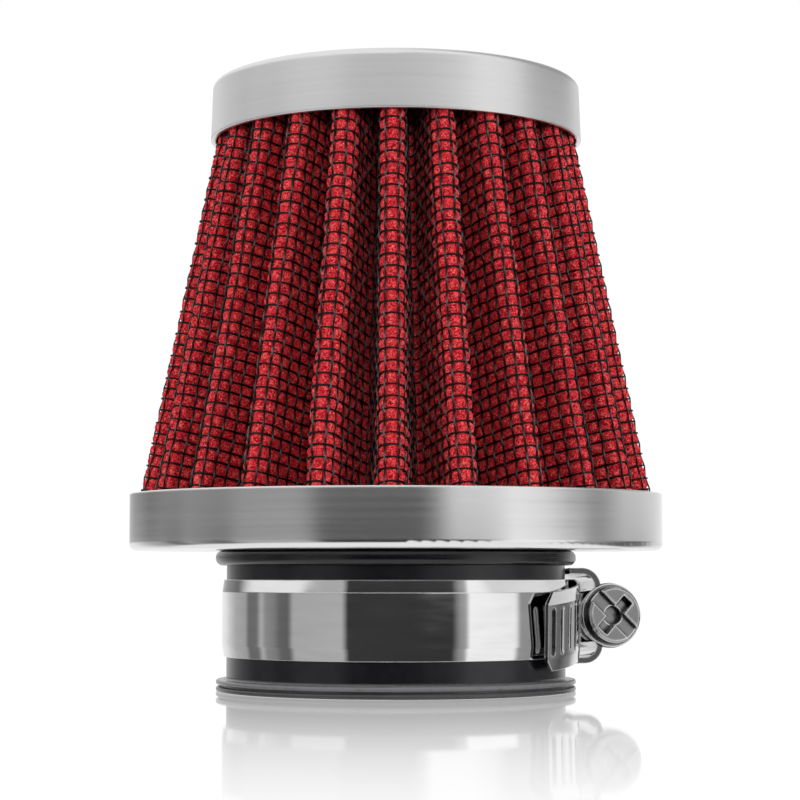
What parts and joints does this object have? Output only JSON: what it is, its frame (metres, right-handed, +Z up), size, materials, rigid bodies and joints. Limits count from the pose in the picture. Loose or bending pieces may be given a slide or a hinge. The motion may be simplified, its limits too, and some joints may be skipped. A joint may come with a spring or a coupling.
{
  "type": "cone air filter",
  "caption": "Conical clamp-on intake air filter: pleated cotton gauze under wire cloth, metal end caps, a rubber neck and a worm-drive hose clamp.",
  "frame": {"origin": "centre of the neck's mouth, on the lip's end face", "axes": "+Z up the filter's axis to the closed small end; the clamp's screw sits on the +X side and faces -Y"},
  "size_m": [0.075, 0.075, 0.086],
  "materials": {
    "satin_metal": "satin",
    "cast_resin": "matte",
    "neck_rubber": "satin",
    "black_wire": "gloss",
    "bare_wire": "satin",
    "red_gauze": "matte",
    "stainless_strip": "polished",
    "plated_screw": "satin"
  },
  "bodies": {
    "filter": {"top_cap": "satin_metal", "cap_resin": "cast_resin", "outer_wire_mesh": "black_wire", "gauze_ply_1": "red_gauze", "gauze_ply_2": "red_gauze", "gauze_ply_3": "red_gauze", "gauze_ply_4": "red_gauze", "inner_wire_mesh": "bare_wire", "base_resin": "cast_resin", "base_ring": "satin_metal", "rubber_neck": "neck_rubber"},
    "clamp": {"clamp_band": "stainless_strip", "clamp_housing": "stainless_strip"},
    "screw": {"clamp_screw": "plated_screw"}
  },
  "joints": [
    {"name": "clamp_swivel", "type": "hinge", "parent": "filter", "child": "clamp", "pos_m": [0, 0, 0.01005], "axis": [0, 0, 1], "continuous": true},
    {"name": "screw_turn", "type": "hinge", "parent": "clamp", "child": "screw", "pos_m": [0.0288, 0.01048, 0.01005], "axis": [0.3414, -0.9379, 0.061], "continuous": true}
  ]
}
